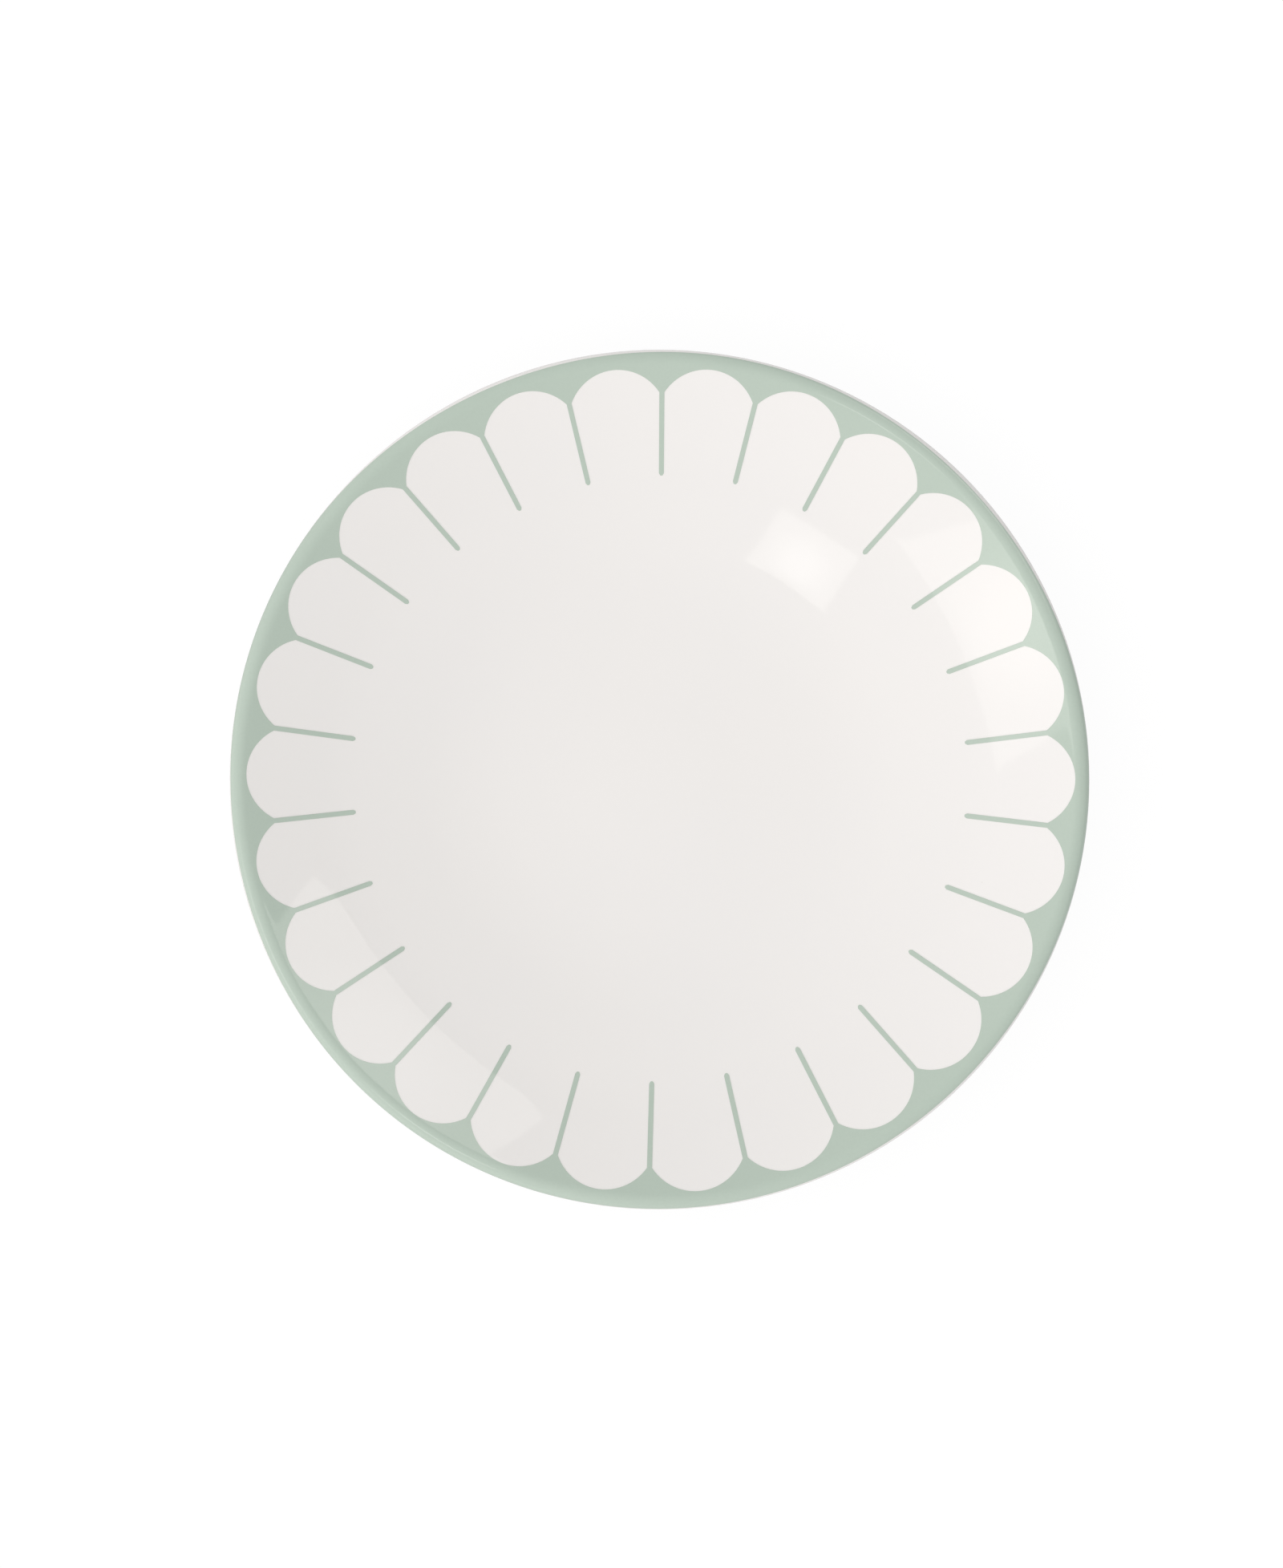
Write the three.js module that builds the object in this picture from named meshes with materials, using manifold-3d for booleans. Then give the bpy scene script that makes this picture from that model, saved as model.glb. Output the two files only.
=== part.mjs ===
// A salad plate: a round coupe plate of glazed porcelain with a printed scallop border.
// Millimetres, +Z up. The plate stands on its foot ring at z = 0, with its axis on Z.
import * as THREE from 'three';
import { mergeVertices } from 'three/addons/utils/BufferGeometryUtils.js';
import Module from 'manifold-3d';

const wasm = await Module();
wasm.setup();

// Overall sizes
const PLATE_DIAMETER = 216;
const BASE_THICKNESS = 4.2;
const HEEL_THICKNESS = 4.6;

// Foot ring: it stands on a narrow flat face, and both its sides lean in towards the table
const FOOT_DIAMETER = 112;
const FOOT_FACE_WIDTH = 3.4;
const FOOT_HEIGHT = 2.8;
const FOOT_LEAN = 10;
const FOOT_EDGE_RADIUS = 0.7;
const FOOT_FILLET_RADIUS = 1.6;
const BARE_FOOT_HEIGHT = 1;

// Face, from the centre out: a flat middle, a floor that starts to lift, a shoulder, a rise, a bend and
// a wall. The middle and the floor are measured across the plate, the starts of the rise, the bend and the
// wall in from its edge, and each slope, in degrees, is the one that its stretch ends with.
const CENTRE_DIAMETER = 36;
const FLOOR_DIAMETER = 78;
const RISE_INSET = 46.5;
const BEND_INSET = 31.5;
const WALL_INSET = 21.5;
const FLOOR_SLOPE = 4;
const SHOULDER_SLOPE = 13.6;
const RISE_SLOPE = 16.5;
const BEND_SLOPE = 21.2;
const WALL_SLOPE = 24;

// Lip: a soft crown that rolls over into a tighter edge, rounded a little more sharply below
const CROWN_RADIUS = 3.9;
const CROWN_SLOPE = 15;
const EDGE_RADIUS = 1.8;
const UNDER_EDGE_RADIUS = 1.2;

// Layers on the clay
const GLAZE_THICKNESS = 0.3;
const PRINT_THICKNESS = 0.06;
const LAYER_GAP = 0.02;

// Printed border: scallops that open inwards, with a stroke running in from each cusp
const SCALLOP_COUNT = 26;
const STROKE_WIDTH = 1.25;
const PRINT_EDGE_INSET = 0.63;
const SCALLOP_TIP_INSET = 4.25;
const CUSP_INSET = 10.35;
const STROKE_END_INSET = 30.9;

// The transfer is laid by hand: the pattern is turned a little on the plate, drifts along the rim (degrees)
// and wanders in and out (millimetres), in waves that go this many times round
const PRINT_TURN = 6.3;
const DRIFT_WAVES = [
  { times: 1, reach: 0.58, peak: 34 },
  { times: 2, reach: 0.49, peak: -34 },
  { times: 3, reach: 0.19, peak: -39 },
];
const WANDER_WAVES = [
  { times: 1, reach: 0.14, peak: -96 },
  { times: 2, reach: 0.18, peak: -5 },
  { times: 3, reach: 0.18, peak: 1 },
  { times: 4, reach: 0.22, peak: -22 },
  { times: 5, reach: 0.17, peak: 0 },
];

// Facets
const TURN_STEPS = 60;
const SHORT_ARC_STEPS = 2;
const LONG_ARC_STEPS = 3;
const LIP_STEPS = 4;
const BACK_STEPS = 5;
const SCALLOP_STEPS = 10;
const STROKE_CAP_STEPS = 4;
const PRINT_EDGE_STEPS = 120;

const PLATE_RADIUS = PLATE_DIAMETER / 2;
const CENTRE_HEIGHT = FOOT_HEIGHT + BASE_THICKNESS;
const AXIS = new THREE.Vector2();
const { degToRad } = THREE.MathUtils;

// The profile is drawn as a path that starts at the centre of the face and keeps the clay on its right.
// Points are (distance from the axis, height), and the heading is the direction of travel.

function startPath(point) {
  return { points: [point], heading: 0 };
}

function pathEnd(path) {
  return path.points[path.points.length - 1];
}

function straightTo(path, point) {
  path.points.push(point);
}

// An arc of the given bend, positive where the path turns left, up to a new heading.
function turnTo(path, bend, heading, steps) {
  const start = pathEnd(path);
  const first = path.heading;
  for (let step = 1; step <= steps; step += 1) {
    const now = first + (heading - first) * step / steps;
    const across = start.x + bend * (Math.sin(now) - Math.sin(first));
    const up = start.y + bend * (Math.cos(first) - Math.cos(now));
    path.points.push(new THREE.Vector2(across, up));
  }
  path.heading = heading;
}

// The arc that reaches a given radius with a given slope.
function riseTo(path, radius, slope, steps) {
  const heading = degToRad(slope);
  const bend = (radius - pathEnd(path).x) / (Math.sin(heading) - Math.sin(path.heading));
  turnTo(path, bend, heading, steps);
}

// The arc that leaves along the present heading and passes through a point.
function arcThrough(path, point, steps) {
  const chord = point.clone().sub(pathEnd(path));
  const swing = Math.atan2(chord.y, chord.x) - path.heading;
  const half = Math.atan2(Math.sin(swing), Math.cos(swing));
  turnTo(path, chord.length() / (2 * Math.sin(half)), path.heading + 2 * half, steps);
}

// Rounds the corner at the end of the path, where it turns off towards the next point.
function roundCornerTowards(path, next, radius, steps) {
  const corner = path.points.pop();
  const arrive = corner.clone().sub(pathEnd(path)).normalize();
  const leave = next.clone().sub(corner).normalize();
  const turn = Math.atan2(arrive.cross(leave), arrive.dot(leave));
  const setback = radius * Math.tan(Math.abs(turn) / 2);
  path.points.push(corner.clone().addScaledVector(arrive, -setback));
  path.heading = arrive.angle();
  turnTo(path, radius * Math.sign(turn), path.heading + turn, steps);
}

// Height of a path at a given radius.
function heightAt(points, radius) {
  const after = points.findIndex((point) => point.x >= radius);
  const [near, far] = [points[after - 1], points[after]];
  return THREE.MathUtils.mapLinear(radius, near.x, far.x, near.y, far.y);
}

// The glazed face and lip, from the centre to the widest point of the edge.
function faceOutline() {
  const crownReach = CROWN_RADIUS * (Math.sin(degToRad(WALL_SLOPE)) + Math.sin(degToRad(CROWN_SLOPE)));
  const edgeReach = EDGE_RADIUS * (1 - Math.sin(degToRad(CROWN_SLOPE)));
  const path = startPath(new THREE.Vector2(0, CENTRE_HEIGHT));
  straightTo(path, new THREE.Vector2(CENTRE_DIAMETER / 2, CENTRE_HEIGHT));
  riseTo(path, FLOOR_DIAMETER / 2, FLOOR_SLOPE, SHORT_ARC_STEPS);
  riseTo(path, PLATE_RADIUS - RISE_INSET, SHOULDER_SLOPE, LONG_ARC_STEPS);
  riseTo(path, PLATE_RADIUS - BEND_INSET, RISE_SLOPE, SHORT_ARC_STEPS);
  riseTo(path, PLATE_RADIUS - WALL_INSET, BEND_SLOPE, SHORT_ARC_STEPS);
  riseTo(path, PLATE_RADIUS - edgeReach - crownReach, WALL_SLOPE, SHORT_ARC_STEPS);
  turnTo(path, -CROWN_RADIUS, -degToRad(CROWN_SLOPE), LIP_STEPS);
  turnTo(path, -EDGE_RADIUS, -Math.PI / 2, LONG_ARC_STEPS);
  return path;
}

// The whole outside, from the centre of the face over the lip and down the back to the foot's flat face.
function outerOutline() {
  const path = faceOutline();
  const footRadius = FOOT_DIAMETER / 2;
  const heel = heightAt(path.points, footRadius) - HEEL_THICKNESS;
  const lean = Math.tan(degToRad(FOOT_LEAN));
  const heelCorner = new THREE.Vector2(footRadius + heel * lean, heel);
  const footCorner = new THREE.Vector2(footRadius, 0);
  turnTo(path, -UNDER_EDGE_RADIUS, degToRad(WALL_SLOPE) - Math.PI, LONG_ARC_STEPS);
  arcThrough(path, heelCorner, BACK_STEPS);
  roundCornerTowards(path, footCorner, FOOT_FILLET_RADIUS, SHORT_ARC_STEPS);
  straightTo(path, footCorner);
  roundCornerTowards(path, new THREE.Vector2(0, 0), FOOT_EDGE_RADIUS, SHORT_ARC_STEPS);
  return path.points;
}

// The hollow inside the foot ring, from the foot's flat face to the axis.
function innerOutline() {
  const footRadius = FOOT_DIAMETER / 2 - FOOT_FACE_WIDTH;
  const lean = Math.tan(degToRad(FOOT_LEAN));
  const baseCorner = new THREE.Vector2(footRadius - FOOT_HEIGHT * lean, FOOT_HEIGHT);
  const baseCentre = new THREE.Vector2(0, FOOT_HEIGHT);
  const path = startPath(new THREE.Vector2(FOOT_DIAMETER / 2, 0));
  straightTo(path, new THREE.Vector2(footRadius, 0));
  roundCornerTowards(path, baseCorner, FOOT_EDGE_RADIUS, SHORT_ARC_STEPS);
  straightTo(path, baseCorner);
  roundCornerTowards(path, baseCentre, FOOT_FILLET_RADIUS, SHORT_ARC_STEPS);
  straightTo(path, baseCentre);
  return path.points.slice(1);
}

// Moves an outline side by side with itself: into the clay by a depth, or out of it by a negative one.
function sunk(points, depth) {
  const sides = points.slice(1).map((point, index) => {
    const along = point.clone().sub(points[index]).normalize();
    return new THREE.Vector2(along.y, -along.x);
  });
  return points.map((point, index) => {
    const before = sides[Math.max(index - 1, 0)];
    const after = sides[Math.min(index, sides.length - 1)];
    const mean = before.clone().add(after).normalize();
    return point.clone().addScaledVector(mean, depth / mean.dot(before));
  });
}

// Splits an outline at the last point where it comes down through a height. Both parts keep that point.
function splitAt(points, height) {
  const last = points.findLastIndex((point) => point.y > height);
  const share = (points[last].y - height) / (points[last].y - points[last + 1].y);
  const cut = points[last].clone().lerp(points[last + 1], share);
  return [[...points.slice(0, last + 1), cut], [cut, ...points.slice(last + 1)]];
}

// The part of an outline that lies beyond a radius.
function beyond(points, radius) {
  const first = points.findIndex((point) => point.x > radius);
  return [new THREE.Vector2(radius, heightAt(points, radius)), ...points.slice(first)];
}

function reversed(points) {
  return [...points].reverse();
}

// Turns a closed profile, drawn with the solid on its right, about the plate's axis.
function turned(points) {
  return new THREE.LatheGeometry(reversed(points), TURN_STEPS).rotateX(Math.PI / 2);
}

// The clay lies under the glaze, and comes out to the surface on the bare foot.
function bodyGeometry() {
  const depth = GLAZE_THICKNESS + LAYER_GAP;
  const [outerGlazed, outerBare] = splitAt(outerOutline(), BARE_FOOT_HEIGHT - LAYER_GAP);
  const [innerGlazed, innerBare] = splitAt(reversed(innerOutline()), BARE_FOOT_HEIGHT - LAYER_GAP);
  const outside = [...sunk(outerGlazed, depth), ...outerBare];
  const inside = [...reversed(innerBare), ...sunk(reversed(innerGlazed), depth)];
  return turned([...outside, ...inside]);
}

// Both coats have an even thickness, and their profiles start and end on the axis.
function glazeCoatGeometry() {
  const [surface] = splitAt(outerOutline(), BARE_FOOT_HEIGHT);
  return turned([...surface, ...reversed(sunk(surface, GLAZE_THICKNESS))]);
}

function footWellGlazeGeometry() {
  const [surface] = splitAt(reversed(innerOutline()), BARE_FOOT_HEIGHT);
  return turned([...reversed(sunk(reversed(surface), GLAZE_THICKNESS)), ...reversed(surface)]);
}

function waveSum(waves, angle) {
  return waves.reduce((sum, wave) => (
    sum + wave.reach * Math.cos(wave.times * (angle - degToRad(wave.peak)))
  ), 0);
}

// A point of the pattern, as it lies on the plate after the transfer is laid.
function laid(point) {
  const angle = point.angle();
  const place = angle + degToRad(PRINT_TURN + waveSum(DRIFT_WAVES, angle));
  const radius = point.length() + waveSum(WANDER_WAVES, angle);
  return new THREE.Vector2(radius * Math.cos(place), radius * Math.sin(place));
}

// One stroke and the scallop after it, for a stroke that lies along the X axis.
function scallopPoints() {
  const pitch = 2 * Math.PI / SCALLOP_COUNT;
  const half = STROKE_WIDTH / 2;
  const cusp = new THREE.Vector2(PLATE_RADIUS - CUSP_INSET, half);
  const capCentre = new THREE.Vector2(PLATE_RADIUS - STROKE_END_INSET + half, 0);
  const points = [new THREE.Vector2(cusp.x, -half)];
  for (let step = 0; step <= STROKE_CAP_STEPS; step += 1) {
    const angle = -Math.PI / 2 - Math.PI * step / STROKE_CAP_STEPS;
    points.push(new THREE.Vector2(half * Math.cos(angle), half * Math.sin(angle)).add(capCentre));
  }
  const middle = cusp.clone().rotateAround(AXIS, -pitch / 2);
  const tipRadius = PLATE_RADIUS - SCALLOP_TIP_INSET;
  const rise = tipRadius - middle.x;
  const arcRadius = (rise ** 2 + middle.y ** 2) / (2 * rise);
  const reach = Math.atan2(-middle.y, middle.x - tipRadius + arcRadius);
  for (let step = 0; step < SCALLOP_STEPS; step += 1) {
    const angle = -reach + 2 * reach * step / SCALLOP_STEPS;
    const point = new THREE.Vector2(arcRadius * Math.cos(angle), arcRadius * Math.sin(angle));
    point.x += tipRadius - arcRadius;
    points.push(point.rotateAround(AXIS, pitch / 2));
  }
  return points;
}

// The printed area seen from above: a round outer edge, and the strokes and scallops round the bare middle.
function printShape() {
  const outer = [];
  const edge = new THREE.Vector2(PLATE_RADIUS - PRINT_EDGE_INSET, 0);
  for (let step = 0; step < PRINT_EDGE_STEPS; step += 1) {
    outer.push(laid(edge.clone().rotateAround(AXIS, 2 * Math.PI * step / PRINT_EDGE_STEPS)));
  }
  const inner = [];
  const repeat = scallopPoints();
  for (let index = 0; index < SCALLOP_COUNT; index += 1) {
    const turn = 2 * Math.PI * index / SCALLOP_COUNT;
    inner.push(...repeat.map((point) => laid(point.clone().rotateAround(AXIS, turn))));
  }
  const shape = new THREE.Shape(outer);
  shape.holes.push(new THREE.Path(inner));
  return shape;
}

function toSolid(geometry) {
  geometry.deleteAttribute('normal');
  geometry.deleteAttribute('uv');
  const merged = mergeVertices(geometry);
  return new wasm.Manifold(new wasm.Mesh({
    numProp: 3,
    vertProperties: new Float32Array(merged.attributes.position.array),
    triVerts: new Uint32Array(merged.index.array),
  }));
}

function toGeometry(solid) {
  const mesh = solid.getMesh();
  const geometry = new THREE.BufferGeometry();
  geometry.setAttribute('position', new THREE.BufferAttribute(mesh.vertProperties, 3));
  geometry.setIndex(new THREE.BufferAttribute(mesh.triVerts, 1));
  geometry.computeVertexNormals();
  return geometry;
}

// A thin film that follows the face and the lip, trimmed to the printed area.
function printGeometry() {
  const face = beyond(faceOutline().points, PLATE_RADIUS - STROKE_END_INSET - STROKE_WIDTH);
  const under = sunk(face, -LAYER_GAP);
  const upper = sunk(face, -LAYER_GAP - PRINT_THICKNESS);
  const film = turned([...upper, ...reversed(under), upper[0]]);
  const trim = new THREE.ExtrudeGeometry(printShape(), { depth: PLATE_DIAMETER, bevelEnabled: false });
  return toGeometry(toSolid(film).intersect(toSolid(trim)));
}

function piece(name, geometry, color, roughness) {
  const mesh = new THREE.Mesh(geometry, new THREE.MeshStandardMaterial({ color, roughness, metalness: 0 }));
  mesh.name = name;
  return mesh;
}

const plate = new THREE.Group();
plate.add(piece('porcelain_body', bodyGeometry(), 0xe9e4da, 0.75));
plate.add(piece('glaze_coat', glazeCoatGeometry(), 0xf0eee9, 0.12));
plate.add(piece('foot_well_glaze', footWellGlazeGeometry(), 0xf0eee9, 0.12));
plate.add(piece('scallop_print', printGeometry(), 0xbbcbbe, 0.15));

export default plate;
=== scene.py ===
"""A salad plate: a round coupe plate of glazed porcelain with a printed sage-green scallop border."""
import bisect
import math

import bpy
from mathutils import Matrix, Vector


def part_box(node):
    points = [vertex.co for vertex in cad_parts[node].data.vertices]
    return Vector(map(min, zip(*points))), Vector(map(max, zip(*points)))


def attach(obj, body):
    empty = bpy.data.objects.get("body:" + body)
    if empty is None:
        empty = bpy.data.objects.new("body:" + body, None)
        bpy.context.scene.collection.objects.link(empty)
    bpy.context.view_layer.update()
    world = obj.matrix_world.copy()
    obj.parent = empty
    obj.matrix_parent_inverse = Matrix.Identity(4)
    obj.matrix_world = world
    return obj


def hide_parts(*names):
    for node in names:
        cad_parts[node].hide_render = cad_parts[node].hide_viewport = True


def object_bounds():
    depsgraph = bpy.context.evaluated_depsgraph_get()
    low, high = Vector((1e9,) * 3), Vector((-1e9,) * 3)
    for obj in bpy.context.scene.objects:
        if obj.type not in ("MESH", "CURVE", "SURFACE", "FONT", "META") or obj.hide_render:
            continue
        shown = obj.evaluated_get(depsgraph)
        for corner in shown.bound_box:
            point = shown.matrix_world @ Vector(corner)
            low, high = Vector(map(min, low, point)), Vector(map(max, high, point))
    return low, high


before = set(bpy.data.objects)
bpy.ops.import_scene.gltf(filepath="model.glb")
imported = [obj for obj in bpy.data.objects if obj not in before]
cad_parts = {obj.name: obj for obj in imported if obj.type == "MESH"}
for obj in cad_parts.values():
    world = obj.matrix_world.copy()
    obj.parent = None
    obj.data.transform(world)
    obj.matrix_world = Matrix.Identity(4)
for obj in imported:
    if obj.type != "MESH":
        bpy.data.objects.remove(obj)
cad_low, cad_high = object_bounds()

# Clay body
# Porcelain clay, formed and turned in one piece with its rounded lip and its foot ring, then fired.
# It lies under the glaze everywhere but on the foot's face, which is wiped bare and stands on the table.
MM = 0.001
PLATE_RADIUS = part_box("glaze_coat")[1].x
BASE_THICKNESS = 4.2 * MM
HEEL_THICKNESS = 4.6 * MM
GLAZE_THICKNESS = 0.3 * MM
LAYER_GAP = 0.02 * MM

# The foot ring's sides lean in towards the table.
FOOT_RADIUS = 56 * MM
FOOT_FACE_WIDTH = 3.4 * MM
FOOT_HEIGHT = 2.8 * MM
FOOT_LEAN = math.tan(math.radians(10))
FOOT_EDGE_RADIUS = 0.7 * MM
FOOT_FILLET_RADIUS = 1.6 * MM
BARE_FOOT_HEIGHT = 1 * MM

# The face lifts in stretches from a flat middle: each ends at this radius with this slope, in degrees.
CENTRE_RADIUS = 18 * MM
FLOOR_END, FLOOR_SLOPE = 39 * MM, 4
SHOULDER_END, SHOULDER_SLOPE = PLATE_RADIUS - 46.5 * MM, 13.6
RISE_END, RISE_SLOPE = PLATE_RADIUS - 31.5 * MM, 16.5
BEND_END, BEND_SLOPE = PLATE_RADIUS - 21.5 * MM, 21.2
WALL_SLOPE = 24

# The lip is a soft crown that rolls over into a tighter edge, rounded a little more sharply below.
CROWN_RADIUS = 3.9 * MM
CROWN_SLOPE = 15
EDGE_RADIUS = 1.8 * MM
UNDER_EDGE_RADIUS = 1.2 * MM

TURN_STEPS = 192
LONGEST_STEP = 1.2 * MM
SHARPEST_STEP = math.radians(5)
SHARP_ANGLE = math.radians(40)
AXIS_REACH = 0.02 * MM


class Profile:
    """A turned outline of (radius, height) points from the centre out, with the clay on its right."""

    def __init__(self, radius, height):
        self.points = [Vector((radius, height))]
        self.heading = 0.0

    def straight_to(self, radius, height):
        self.points.append(Vector((radius, height)))

    def turn_to(self, bend, heading):
        """An arc of this radius up to a new heading, positive where the outline turns left."""
        start = self.points[-1]
        first = self.heading
        turn = heading - first
        steps = math.ceil(max(abs(turn) / SHARPEST_STEP, abs(bend * turn) / LONGEST_STEP))
        for step in range(1, steps + 1):
            now = first + turn * step / steps
            across = bend * (math.sin(now) - math.sin(first))
            up = bend * (math.cos(first) - math.cos(now))
            self.points.append(start + Vector((across, up)))
        self.heading = heading

    def rise_to(self, radius, slope):
        """The arc that reaches a radius with a slope in degrees."""
        heading = math.radians(slope)
        bend = (radius - self.points[-1].x) / (math.sin(heading) - math.sin(self.heading))
        self.turn_to(bend, heading)

    def arc_through(self, radius, height):
        """The arc that leaves along the present heading and passes through a point."""
        chord = Vector((radius, height)) - self.points[-1]
        swing = math.atan2(chord.y, chord.x) - self.heading
        half = math.atan2(math.sin(swing), math.cos(swing))
        self.turn_to(chord.length / (2 * math.sin(half)), self.heading + 2 * half)

    def round_corner_towards(self, radius, height, rounding):
        """Rounds the corner at the end of the outline, where it turns off towards a point."""
        corner = self.points.pop()
        arrive = (corner - self.points[-1]).normalized()
        leave = (Vector((radius, height)) - corner).normalized()
        turn = math.atan2(arrive.x * leave.y - arrive.y * leave.x, arrive.dot(leave))
        self.points.append(corner - arrive * rounding * math.tan(abs(turn) / 2))
        self.heading = math.atan2(arrive.y, arrive.x)
        self.turn_to(math.copysign(rounding, turn), self.heading + turn)


def height_at(points, radius):
    """Height of an outline where it first reaches a radius."""
    for near, far in zip(points, points[1:]):
        if far.x >= radius:
            return near.y + (far.y - near.y) * (radius - near.x) / (far.x - near.x)


def sides_of(points):
    """The direction out of the clay along each straight of an outline."""
    sides = []
    for near, far in zip(points, points[1:]):
        along = (far - near).normalized()
        sides.append(Vector((-along.y, along.x)))
    return sides


def outward(points):
    """The direction out of the clay at each point of an outline."""
    sides = sides_of(points)
    return [(before + after).normalized() for before, after in zip(sides[:1] + sides, sides + sides[-1:])]


def sunk(points, depth):
    """An outline moved side by side with itself into the clay by a depth."""
    sides = sides_of(points)
    moved = []
    for point, direction, side in zip(points, outward(points), sides[:1] + sides):
        moved.append(point - direction * depth / direction.dot(side))
    return moved


def split_at(points, height):
    """The parts of an outline before and after it last comes down through a height."""
    last = max(index for index, point in enumerate(points) if point.y > height)
    near, far = points[last], points[last + 1]
    cut = near.lerp(far, (near.y - height) / (near.y - far.y))
    return points[:last + 1] + [cut], [cut] + points[last + 1:]


def add_piece(name, vertices, faces):
    """A new mesh piece in the scene, smooth but for its sharp edges."""
    mesh = bpy.data.meshes.new(name)
    mesh.from_pydata(vertices, [], faces)
    mesh.shade_smooth()
    mesh.set_sharp_from_angle(angle=SHARP_ANGLE)
    piece = bpy.data.objects.new(name, mesh)
    bpy.context.scene.collection.objects.link(piece)
    return piece


def turned(name, points, steps=TURN_STEPS):
    """A piece turned about the plate's axis, closed if its profile starts and ends on the axis."""
    vertices = []
    rings = []
    for radius, height in points:
        if radius < AXIS_REACH:
            rings.append([len(vertices)] * steps)
            vertices.append((0, 0, height))
            continue
        rings.append(range(len(vertices), len(vertices) + steps))
        for step in range(steps):
            angle = math.tau * step / steps
            vertices.append((radius * math.cos(angle), radius * math.sin(angle), height))
    faces = []
    for near, far in zip(rings, rings[1:]):
        for step in range(steps):
            after = (step + 1) % steps
            corners = near[step], far[step], far[after], near[after]
            faces.append(list(dict.fromkeys(corners)))
    return add_piece(name, vertices, faces)


crown_turn = math.sin(math.radians(WALL_SLOPE)) + math.sin(math.radians(CROWN_SLOPE))
edge_reach = EDGE_RADIUS * (1 - math.sin(math.radians(CROWN_SLOPE)))
outline = Profile(0, FOOT_HEIGHT + BASE_THICKNESS)
outline.straight_to(CENTRE_RADIUS, FOOT_HEIGHT + BASE_THICKNESS)
outline.rise_to(FLOOR_END, FLOOR_SLOPE)
outline.rise_to(SHOULDER_END, SHOULDER_SLOPE)
outline.rise_to(RISE_END, RISE_SLOPE)
outline.rise_to(BEND_END, BEND_SLOPE)
outline.rise_to(PLATE_RADIUS - edge_reach - CROWN_RADIUS * crown_turn, WALL_SLOPE)
outline.turn_to(-CROWN_RADIUS, -math.radians(CROWN_SLOPE))
outline.turn_to(-EDGE_RADIUS, -math.pi / 2)
face_outline = list(outline.points)

heel = height_at(face_outline, FOOT_RADIUS) - HEEL_THICKNESS
outline.turn_to(-UNDER_EDGE_RADIUS, math.radians(WALL_SLOPE) - math.pi)
outline.arc_through(FOOT_RADIUS + heel * FOOT_LEAN, heel)
outline.round_corner_towards(FOOT_RADIUS, 0, FOOT_FILLET_RADIUS)
outline.straight_to(FOOT_RADIUS, 0)
outline.round_corner_towards(0, 0, FOOT_EDGE_RADIUS)

foot_inside = FOOT_RADIUS - FOOT_FACE_WIDTH
hollow = Profile(FOOT_RADIUS, 0)
hollow.straight_to(foot_inside, 0)
hollow.round_corner_towards(foot_inside - FOOT_HEIGHT * FOOT_LEAN, FOOT_HEIGHT, FOOT_EDGE_RADIUS)
hollow.straight_to(foot_inside - FOOT_HEIGHT * FOOT_LEAN, FOOT_HEIGHT)
hollow.round_corner_towards(0, FOOT_HEIGHT, FOOT_FILLET_RADIUS)
hollow.straight_to(0, FOOT_HEIGHT)
hollow_outline = hollow.points[:0:-1]

glazed_outside, bare_outside = split_at(outline.points, BARE_FOOT_HEIGHT - LAYER_GAP)
glazed_hollow, bare_hollow = split_at(hollow_outline, BARE_FOOT_HEIGHT - LAYER_GAP)
clay_depth = GLAZE_THICKNESS + LAYER_GAP
clay_profile = sunk(glazed_outside, clay_depth) + bare_outside
clay_profile += bare_hollow[::-1] + sunk(glazed_hollow[::-1], clay_depth)
clay_body = turned("clay_body", clay_profile)


def start_material(piece, name):
    """A new node material on a piece: its node tree and its Principled shader."""
    material = bpy.data.materials.new(name)
    material.use_nodes = True
    piece.data.materials.append(material)
    return material.node_tree, material.node_tree.nodes["Principled BSDF"]


def feed(socket, source):
    """Links an input to another node's output, or sets it to a plain value."""
    if isinstance(source, bpy.types.NodeSocket):
        socket.id_data.links.new(source, socket)
    else:
        socket.default_value = source


def add_node(tree, kind, **inputs):
    """A new node with its inputs fed, each named here with _ for a space."""
    node = tree.nodes.new(kind)
    for name, source in inputs.items():
        feed(node.inputs[name.replace("_", " ")], source)
    return node


def combine(tree, operation, first, second):
    """The result of a Math node on two values."""
    node = tree.nodes.new("ShaderNodeMath")
    node.operation = operation
    feed(node.inputs[0], first)
    feed(node.inputs[1], second)
    return node.outputs["Value"]


def spread_over(tree, value, low, high, lowest, highest):
    """A value's stretch from low to high, laid over lowest to highest."""
    node = add_node(tree, "ShaderNodeMapRange", Value=value, From_Min=low, From_Max=high)
    feed(node.inputs["To Min"], lowest)
    feed(node.inputs["To Max"], highest)
    return node.outputs["Result"]


def mix_colours(tree, share, colour, other):
    """One colour with a share of another."""
    node = tree.nodes.new("ShaderNodeMix")
    node.data_type = "RGBA"
    feed(node.inputs["Factor"], share)
    feed(next(socket for socket in node.inputs if socket.identifier == "A_Color"), colour)
    feed(next(socket for socket in node.inputs if socket.identifier == "B_Color"), other)
    return next(socket for socket in node.outputs if socket.identifier == "Result_Color")


def noise(tree, place, scale, detail):
    """The value of a soft noise at a place."""
    return add_node(tree, "ShaderNodeTexNoise", Vector=place, Scale=scale, Detail=detail).outputs["Fac"]


BISCUIT_COLOUR = (0.74, 0.70, 0.62, 1)
SCUFFED_COLOUR = (0.58, 0.54, 0.47, 1)
BISCUIT_ROUGHNESS = 0.68, 0.88
BISCUIT_RELIEF = 0.04 * MM
BISCUIT_GRAIN_SCALE = 2600
SCUFF_SCALE = 160
WIPING_SCALE = 700
MOST_SPECKLE = 0.25

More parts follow.
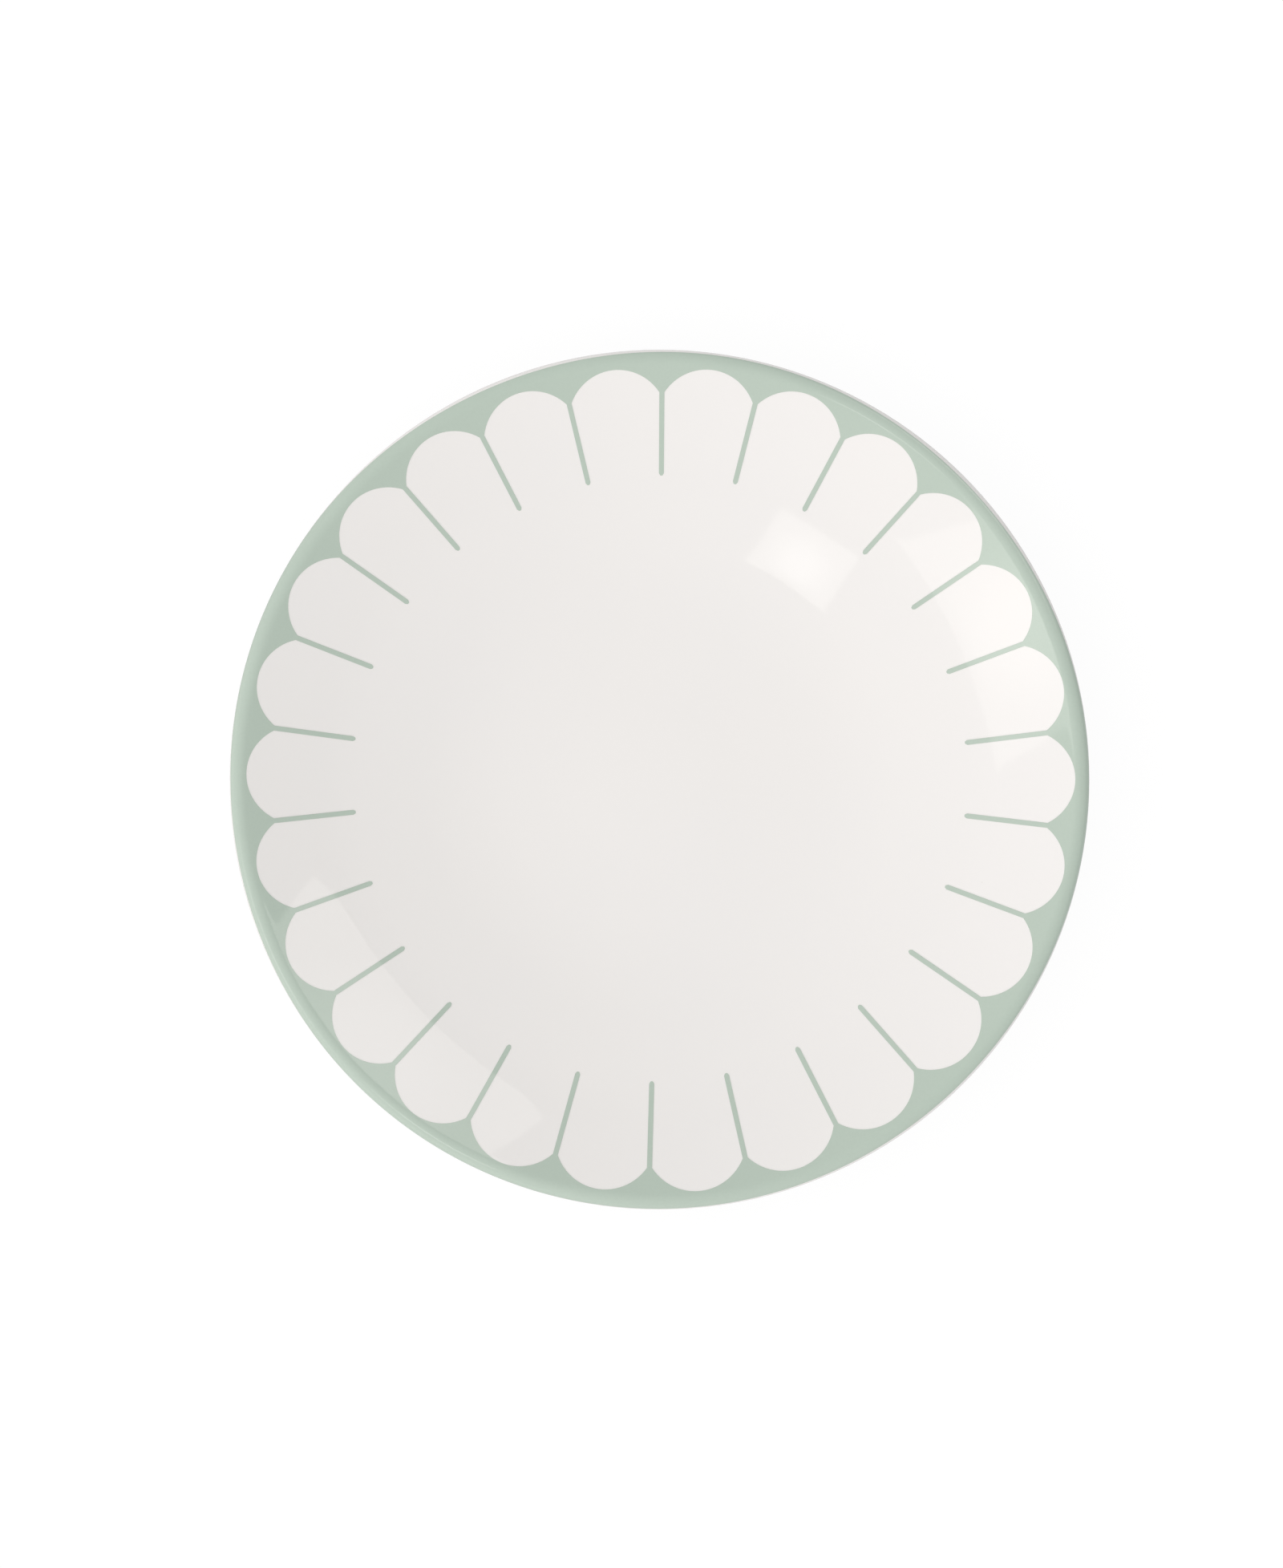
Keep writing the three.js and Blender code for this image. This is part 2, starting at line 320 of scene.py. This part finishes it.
# A noise mostly stays within the first span. Scuffs and speckles show where theirs is reached.
NOISE_SPAN = 0.3, 0.7
SCUFF_SPAN = 0.5, 0.75
SPECKLE_SPAN = 0.4, 0.7

tree, shader = start_material(clay_body, "bare_biscuit")
place = add_node(tree, "ShaderNodeTexCoord").outputs["Object"]
grain = noise(tree, place, BISCUIT_GRAIN_SCALE, detail=4)
scuffs = noise(tree, place, SCUFF_SCALE, detail=5)
wiping = add_node(tree, "ShaderNodeTexWave", Vector=place, Scale=WIPING_SCALE, Distortion=2, Detail=2)
wiping.wave_type = "RINGS"
wiping.rings_direction = "Z"
scuffed = spread_over(tree, scuffs, *SCUFF_SPAN, 0, 1)
speckled = spread_over(tree, grain, *SPECKLE_SPAN, 0, MOST_SPECKLE)
stain = combine(tree, "MAXIMUM", scuffed, speckled)
feed(shader.inputs["Base Color"], mix_colours(tree, stain, BISCUIT_COLOUR, SCUFFED_COLOUR))
feed(shader.inputs["Roughness"], spread_over(tree, grain, *NOISE_SPAN, *BISCUIT_ROUGHNESS))
relief = combine(tree, "ADD", grain, wiping.outputs["Fac"])
bump = add_node(tree, "ShaderNodeBump", Height=relief, Distance=BISCUIT_RELIEF)
feed(shader.inputs["Normal"], bump.outputs["Normal"])

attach(clay_body, "root")
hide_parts("porcelain_body")

# Glaze coat
# Clear gloss glaze over the white clay, on the face, the lip and the back, down to the line where it is
# wiped off the foot. It is sprayed or dipped, then melts to an even skin with a faint ripple.
glaze_surface = split_at(outline.points, BARE_FOOT_HEIGHT)[0]
glaze_underside = sunk(glaze_surface, GLAZE_THICKNESS)
glaze_coat = turned("glaze_over_face_and_back", glaze_surface + glaze_underside[::-1])

GLAZE_COLOUR = (0.852, 0.836, 0.812, 1)
THICK_GLAZE_COLOUR = (0.846, 0.832, 0.812, 1)
GLAZE_RIPPLE = 0.02 * MM
RIPPLE_SCALE = 50
PEEL_SCALE = 420
PEEL_SHARE = 0.05
FINE_GRAIN_SCALE = 1500
NOISE_MIDDLE = 0.5

# The glaze lies thicker in soft clouds, which also vary its polish.
CLOUD_SCALE = 16
CLOUD_SPAN = 0.35, 0.65
POLISH_SPAN = 0.75, 1.25

# Pinholes sit in the few cells of a pattern whose chance passes this level, each with a soft rim.
PINHOLE_COLOUR = (0.42, 0.38, 0.32, 1)
PINHOLE_SCALE = 110
PINHOLE_LEVEL = 0.86
PINHOLE_RIM = 0.02, 0.035

gloss = bpy.data.node_groups.new("fired_gloss", "ShaderNodeTree")
for name, kind in (("Colour", "Color"), ("Thick Colour", "Color"), ("Roughness", "Float"),
                   ("Grain", "Float"), ("Pinholes", "Float")):
    gloss.interface.new_socket(name, in_out="INPUT", socket_type="NodeSocket" + kind)
for name, kind in (("Colour", "Color"), ("Roughness", "Float"), ("Height", "Float")):
    gloss.interface.new_socket(name, in_out="OUTPUT", socket_type="NodeSocket" + kind)
given = add_node(gloss, "NodeGroupInput").outputs
result = add_node(gloss, "NodeGroupOutput").inputs
place = add_node(gloss, "ShaderNodeTexCoord").outputs["Object"]

clouds = noise(gloss, place, CLOUD_SCALE, detail=2)
thickness = spread_over(gloss, clouds, *CLOUD_SPAN, 0, 1)
toned = mix_colours(gloss, thickness, given["Colour"], given["Thick Colour"])
fine = noise(gloss, place, FINE_GRAIN_SCALE, detail=2)
grain = combine(gloss, "MULTIPLY", combine(gloss, "SUBTRACT", fine, NOISE_MIDDLE), given["Grain"])
grained = gloss.nodes.new("ShaderNodeVectorMath")
grained.operation = "SCALE"
feed(grained.inputs["Vector"], toned)
feed(grained.inputs["Scale"], combine(gloss, "ADD", grain, 1))

cells = add_node(gloss, "ShaderNodeTexVoronoi", Vector=place, Scale=PINHOLE_SCALE)
chance = add_node(gloss, "ShaderNodeSeparateColor", Color=cells.outputs["Color"]).outputs["Red"]
picked = combine(gloss, "GREATER_THAN", chance, PINHOLE_LEVEL)
spot = spread_over(gloss, cells.outputs["Distance"], *PINHOLE_RIM, 1, 0)
pinhole = combine(gloss, "MULTIPLY", combine(gloss, "MULTIPLY", picked, spot), given["Pinholes"])
feed(result["Colour"], mix_colours(gloss, pinhole, grained.outputs["Vector"], PINHOLE_COLOUR))

polish = spread_over(gloss, clouds, *NOISE_SPAN, *POLISH_SPAN)
feed(result["Roughness"], combine(gloss, "MULTIPLY", given["Roughness"], polish))
ripple = noise(gloss, place, RIPPLE_SCALE, detail=1)
peel = noise(gloss, place, PEEL_SCALE, detail=1)
flow = combine(gloss, "ADD", ripple, combine(gloss, "MULTIPLY", peel, PEEL_SHARE))
feed(result["Height"], combine(gloss, "SUBTRACT", flow, pinhole))


def glaze_piece(piece, name, colour, thick_colour, roughness, grain, pinholes):
    """Covers a piece with the fired gloss in its own colours, and gives back its Principled shader."""
    tree, shader = start_material(piece, name)
    fired = tree.nodes.new("ShaderNodeGroup")
    fired.node_tree = gloss
    feed(fired.inputs["Colour"], colour)
    feed(fired.inputs["Thick Colour"], thick_colour)
    feed(fired.inputs["Roughness"], roughness)
    feed(fired.inputs["Grain"], grain)
    feed(fired.inputs["Pinholes"], pinholes)
    bump = add_node(tree, "ShaderNodeBump", Height=fired.outputs["Height"], Distance=GLAZE_RIPPLE)
    feed(shader.inputs["Base Color"], fired.outputs["Colour"])
    feed(shader.inputs["Roughness"], fired.outputs["Roughness"])
    feed(shader.inputs["Normal"], bump.outputs["Normal"])
    return shader


glaze_piece(glaze_coat, "white_glaze", GLAZE_COLOUR, THICK_GLAZE_COLOUR,
            roughness=0.03, grain=0.01, pinholes=0.1)
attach(glaze_coat, "root")
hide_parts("glaze_coat")

# Glaze in the foot well
# The same glaze, left in the shallow hollow inside the foot ring. It pools there a little thicker, and
# more pinholes show, because the underside isn't polished before it is glazed.
WELL_GLAZE_COLOUR = (0.840, 0.822, 0.800, 1)
WELL_THICK_COLOUR = (0.805, 0.795, 0.778, 1)

well_surface = split_at(hollow_outline, BARE_FOOT_HEIGHT)[0][::-1]
well_glaze = turned("glaze_in_foot_well", sunk(well_surface, GLAZE_THICKNESS)[::-1] + well_surface)
glaze_piece(well_glaze, "foot_well_glaze", WELL_GLAZE_COLOUR, WELL_THICK_COLOUR,
            roughness=0.1, grain=0.02, pinholes=0.6)
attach(well_glaze, "root")
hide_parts("foot_well_glaze")

# Scallop border
# A sage-green transfer print, fired into the glaze: a band along the lip with an edge of round scallops,
# and a thin stroke that runs in from each cusp. It is laid by hand, so it drifts a little round the rim.
PRINT_THICKNESS = 0.06 * MM
SCALLOP_COUNT = 26
STROKE_WIDTH = 1.25 * MM
PRINT_EDGE = PLATE_RADIUS - 0.48 * MM
SCALLOP_TIP = PLATE_RADIUS - 4.25 * MM
CUSP = PLATE_RADIUS - 10.35 * MM
STROKE_END = PLATE_RADIUS - 30.9 * MM
STROKE_COLUMNS = 5
SCALLOP_COLUMNS = 26
BAND_ROWS = 16
STROKE_ROWS = 20

# The hand-laid pattern drifts along the rim (degrees) and wanders in and out, its outer edge lies a
# little off centre, and its strokes end unevenly, in waves of (times round, reach, peak in degrees).
PRINT_TURN = 6.3
DRIFT_WAVES = (1, 0.58, 34), (2, 0.49, -34), (3, 0.19, -39)
WANDER_WAVES = (
    (1, 0.16 * MM, -96),
    (2, 0.2 * MM, -5),
    (3, 0.2 * MM, 1),
    (4, 0.24 * MM, -22),
    (5, 0.18 * MM, 0),
)
EDGE_WAVES = ((1, 0.18 * MM, -151),)
STROKE_WAVES = (1, 0.43 * MM, 102), (2, 0.35 * MM, 9)


def wave_sum(waves, angle):
    """The waves added up at an angle."""
    return sum(reach * math.cos(times * (angle - math.radians(peak))) for times, reach, peak in waves)


def turned_point(along, across, angle):
    """A point of the flat pattern, turned about the plate's axis."""
    return Matrix.Rotation(angle, 2) @ Vector((along, across))


face_radii = [point.x for point in face_outline]
surface_outward = outward(outline.points)
surface_lengths = [0.0]
for near, far in zip(outline.points, outline.points[1:]):
    surface_lengths.append(surface_lengths[-1] + (far - near).length)


def laid(point, lift):
    """A point of the flat pattern as it lies on the plate, this high above the glaze, and its normal."""
    flat_angle = math.atan2(point.y, point.x)
    angle = flat_angle + math.radians(PRINT_TURN + wave_sum(DRIFT_WAVES, flat_angle))
    after = bisect.bisect_left(face_radii, point.length)
    share = (point.length - face_radii[after - 1]) / (face_radii[after] - face_radii[after - 1])
    length = surface_lengths[after - 1] + share * (surface_lengths[after] - surface_lengths[after - 1])
    length += wave_sum(WANDER_WAVES, flat_angle)
    after = bisect.bisect_left(surface_lengths, length)
    share = (length - surface_lengths[after - 1]) / (surface_lengths[after] - surface_lengths[after - 1])
    direction = surface_outward[after - 1].lerp(surface_outward[after], share).normalized()
    lifted = outline.points[after - 1].lerp(outline.points[after], share) + direction * lift
    turn = Matrix.Rotation(angle, 3, "Z")
    return turn @ Vector((lifted.x, 0, lifted.y)), turn @ Vector((direction.x, 0, direction.y))


pitch = math.tau / SCALLOP_COUNT
half_stroke = STROKE_WIDTH / 2
cusp_middle = turned_point(CUSP, half_stroke, -pitch / 2)
scallop_rise = SCALLOP_TIP - cusp_middle.x
scallop_radius = (scallop_rise ** 2 + cusp_middle.y ** 2) / (2 * scallop_rise)
scallop_centre = SCALLOP_TIP - scallop_radius
scallop_reach = math.atan2(-cusp_middle.y, cusp_middle.x - scallop_centre)
stroke_top = math.asin(half_stroke / PRINT_EDGE)


def edge_point(angle):
    """A point of the border's outer edge in the flat pattern."""
    return turned_point(PRINT_EDGE + wave_sum(EDGE_WAVES, angle), 0, angle)


def straight(start, end, rows):
    """Points on a straight line, with both its ends."""
    return [start.lerp(end, row / rows) for row in range(rows + 1)]


# The film is laid out in columns from its inner edge to the lip, a few on each stroke and the rest on the
# scallop after it. A stroke's columns start at its round end and pass the cusp.
columns = []
for index in range(SCALLOP_COUNT):
    stroke_angle = index * pitch
    cap_centre = STROKE_END + half_stroke + wave_sum(STROKE_WAVES, stroke_angle)
    for column in range(STROKE_COLUMNS):
        across = half_stroke * (2 * column / (STROKE_COLUMNS - 1) - 1)
        start = turned_point(cap_centre - math.sqrt(half_stroke ** 2 - across ** 2), across, stroke_angle)
        cusp = turned_point(CUSP, across, stroke_angle)
        end = edge_point(stroke_angle + stroke_top * across / half_stroke)
        columns.append(straight(start, cusp, STROKE_ROWS)[:-1] + straight(cusp, end, BAND_ROWS))
    scallop_angle = stroke_angle + pitch / 2
    for column in range(1, SCALLOP_COLUMNS):
        share = 2 * column / SCALLOP_COLUMNS - 1
        swing = scallop_reach * share
        along = scallop_centre + scallop_radius * math.cos(swing)
        start = turned_point(along, scallop_radius * math.sin(swing), scallop_angle)
        end = edge_point(scallop_angle + (pitch / 2 - stroke_top) * share)
        columns.append(straight(start, end, BAND_ROWS))

upper = []
lower = []
normals = []
numbered = []
for column in columns:
    numbered.append(range(len(upper), len(upper) + len(column)))
    for point in column:
        place, normal = laid(point, LAYER_GAP + PRINT_THICKNESS)
        upper.append(place)
        normals.append(normal)
        lower.append(laid(point, LAYER_GAP)[0])

top_faces = []
for near, far in zip(numbered, numbered[1:] + numbered[:1]):
    rows = min(len(near), len(far))
    near, far = near[-rows:], far[-rows:]
    for row in range(rows - 1):
        top_faces.append((near[row], near[row + 1], far[row + 1], far[row]))
top_edges = {edge for face in top_faces for edge in zip(face, face[1:] + face[:1])}
rim_edges = [(start, end) for start, end in sorted(top_edges) if (end, start) not in top_edges]

count = len(upper)
under_faces = [tuple(corner + count for corner in face[::-1]) for face in top_faces]
wall_faces = [(end, start, start + count, end + count) for start, end in rim_edges]
scallop_border = add_piece("scallop_border", upper + lower, top_faces + under_faces + wall_faces)
corner_normals = [normals[corner] for face in top_faces for corner in face]
corner_normals += [-normals[corner - count] for face in under_faces for corner in face]
corner_normals += [Vector() for face in wall_faces for corner in face]
scallop_border.data.normals_split_custom_set(corner_normals)

SAGE_COLOUR = (0.462, 0.554, 0.475, 1)
THICK_SAGE_COLOUR = (0.451, 0.543, 0.465, 1)
ENAMEL_IOR = 1.62

shader = glaze_piece(scallop_border, "sage_print", SAGE_COLOUR, THICK_SAGE_COLOUR,
                     roughness=0.04, grain=0.05, pinholes=0)
feed(shader.inputs["IOR"], ENAMEL_IOR)
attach(scallop_border, "root")
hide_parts("scallop_print")

# Floor
# A light table: a white sheet that glows a little. The camera and the gloss see it as white paper with a
# faint shadow, all other light meets it as a darker matt sheet, and from below it is clear.
FLOOR_SIZE = 6.0
FLOOR_DROP = 0.2 * MM
FLOOR_COLOUR = (0.18, 0.18, 0.18, 1)
FLOOR_GLOW = 0.3
PAPER_COLOUR = (0.12, 0.12, 0.12, 1)
PAPER_GLOW = 0.9

half = FLOOR_SIZE / 2
corners = [(-half, -half, 0), (half, -half, 0), (half, half, 0), (-half, half, 0)]
floor = add_piece("floor", corners, [(0, 1, 2, 3)])
floor.location.z = -FLOOR_DROP
tree, shader = start_material(floor, "white_floor")
tree.nodes.remove(shader)
path = add_node(tree, "ShaderNodeLightPath").outputs
shown = combine(tree, "ADD", path["Is Camera Ray"], path["Is Glossy Ray"])
shown = combine(tree, "ADD", shown, path["Is Transmission Ray"])
strength = spread_over(tree, shown, 0, 1, FLOOR_GLOW, PAPER_GLOW)
glow = add_node(tree, "ShaderNodeEmission", Strength=strength)
tone = mix_colours(tree, shown, FLOOR_COLOUR, PAPER_COLOUR)
matt = add_node(tree, "ShaderNodeBsdfDiffuse", Color=tone)
sheet = tree.nodes.new("ShaderNodeAddShader")
feed(sheet.inputs[0], glow.outputs["Emission"])
feed(sheet.inputs[1], matt.outputs["BSDF"])
clear = tree.nodes.new("ShaderNodeBsdfTransparent")
from_below = add_node(tree, "ShaderNodeNewGeometry").outputs["Backfacing"]
surface = add_node(tree, "ShaderNodeMixShader", Fac=from_below)
feed(surface.inputs[1], sheet.outputs["Shader"])
feed(surface.inputs[2], clear.outputs["BSDF"])
feed(tree.nodes["Material Output"].inputs["Surface"], surface.outputs["Shader"])

# Light tent
# A dome of white cloth over the plate, lit from outside: brighter at the lower left of the picture than
# at the upper right. It lights the plate and shows in its gloss, but the camera sees the white room.
TENT_RADIUS = 1.8
TENT_SIDES = 32
TENT_ROWS = 8
KEY_BEARING = math.radians(208.5)
KEY_GLOW = (1.49, 1.455, 1.455, 1)
FILL_GLOW = (0.45, 0.46, 0.465, 1)

tent_profile = []
for row in range(TENT_ROWS + 1):
    lean = math.pi / 2 * row / TENT_ROWS
    tent_profile.append(Vector((TENT_RADIUS * math.cos(lean), TENT_RADIUS * math.sin(lean))))
tent = turned("light_tent", tent_profile, TENT_SIDES)
tent.visible_camera = False
tree, shader = start_material(tent, "tent_cloth")
tree.nodes.remove(shader)
place = add_node(tree, "ShaderNodeTexCoord").outputs["Object"]
towards_key = tree.nodes.new("ShaderNodeVectorMath")
towards_key.operation = "DOT_PRODUCT"
feed(towards_key.inputs[0], place)
feed(towards_key.inputs[1], (math.cos(KEY_BEARING), math.sin(KEY_BEARING), 0))
key_share = spread_over(tree, towards_key.outputs["Value"], -TENT_RADIUS, TENT_RADIUS, 0, 1)
cloth = add_node(tree, "ShaderNodeEmission", Color=mix_colours(tree, key_share, FILL_GLOW, KEY_GLOW))
feed(tree.nodes["Material Output"].inputs["Surface"], cloth.outputs["Emission"])

world = bpy.data.worlds.new("white_room")
bpy.context.scene.world = world
world.use_nodes = True
feed(world.node_tree.nodes["Background"].inputs["Color"], (1, 1, 1, 1))

# Softboxes
# Three cloth-fronted lamps hang level over the plate and show as pale patches in its glaze: a small
# square one, a wide one on the same side, and a weaker wide one opposite. The wide ones narrow towards
# their far edges. Each glows evenly round its edges and most in the middle, with a soft change between.
LAMP_HEIGHT = 1.0
LAMP_COLOUR = (1, 0.985, 0.96, 1)
CHANGE_START, CHANGE_END = 0.25, 0.85


def add_softbox(name, bearing, near, far, near_width, far_width, middle_glow, edge_glow):
    """A lamp at a bearing in degrees, with its near and far edges this far from the plate's axis."""
    middle = (near + far) / 2
    half_depth = (far - near) / 2
    half_width = (near_width + far_width) / 4
    corners = [(-half_depth, -near_width / 2, 0), (-half_depth, near_width / 2, 0)]
    corners += [(half_depth, far_width / 2, 0), (half_depth, -far_width / 2, 0)]
    box = add_piece(name, corners, [(0, 1, 2, 3)])
    turn = Matrix.Rotation(math.radians(bearing), 4, "Z")
    box.matrix_world = turn @ Matrix.Translation((middle, 0, LAMP_HEIGHT))
    box.visible_camera = False
    tree, shader = start_material(box, name + "_cloth")
    tree.nodes.remove(shader)
    place = add_node(tree, "ShaderNodeTexCoord").outputs["Object"]
    scaled = tree.nodes.new("ShaderNodeVectorMath")
    scaled.operation = "MULTIPLY"
    feed(scaled.inputs[0], place)
    feed(scaled.inputs[1], (1 / half_depth, 1 / half_width, 0))
    reach = tree.nodes.new("ShaderNodeVectorMath")
    reach.operation = "LENGTH"
    feed(reach.inputs[0], scaled.outputs["Vector"])
    glow = spread_over(tree, reach.outputs["Value"], CHANGE_START, CHANGE_END, middle_glow, edge_glow)
    lamp = add_node(tree, "ShaderNodeEmission", Color=LAMP_COLOUR, Strength=glow)
    feed(tree.nodes["Material Output"].inputs["Surface"], lamp.outputs["Emission"])


add_softbox("square_softbox", bearing=237, near=0.344, far=0.459, near_width=0.143, far_width=0.143,
            middle_glow=3.55, edge_glow=2.4)
add_softbox("wide_softbox", bearing=203.3, near=0.6, far=0.9, near_width=0.5, far_width=0.36,
            middle_glow=2.85, edge_glow=2.1)
add_softbox("fill_softbox", bearing=43.3, near=0.62, far=0.9, near_width=0.655, far_width=0.5,
            middle_glow=2.25, edge_glow=1.7)

# Camera
# It looks straight down on the plate, which lies a little right of the picture's middle and above it.
# Places in the picture are in pixels.
LENS = 100
SENSOR = 36
PICTURE_HEIGHT = 1955
PLATE_ACROSS_PICTURE = 1074
RIM_HEIGHT = cad_high.z
RIGHT_OF_MIDDLE, ABOVE_MIDDLE = 22.5, 5.5

camera_data = bpy.data.cameras.new("camera")
camera_data.lens = LENS
camera_data.sensor_width = SENSOR
camera_data.shift_x = -RIGHT_OF_MIDDLE / PICTURE_HEIGHT
camera_data.shift_y = -ABOVE_MIDDLE / PICTURE_HEIGHT
picture_reach = 2 * PLATE_RADIUS * PICTURE_HEIGHT / PLATE_ACROSS_PICTURE
camera = bpy.data.objects.new("camera", camera_data)
camera.location.z = RIM_HEIGHT + picture_reach * LENS / SENSOR
bpy.context.scene.collection.objects.link(camera)
bpy.context.scene.camera = camera
bpy.context.scene.view_settings.view_transform = "Standard"
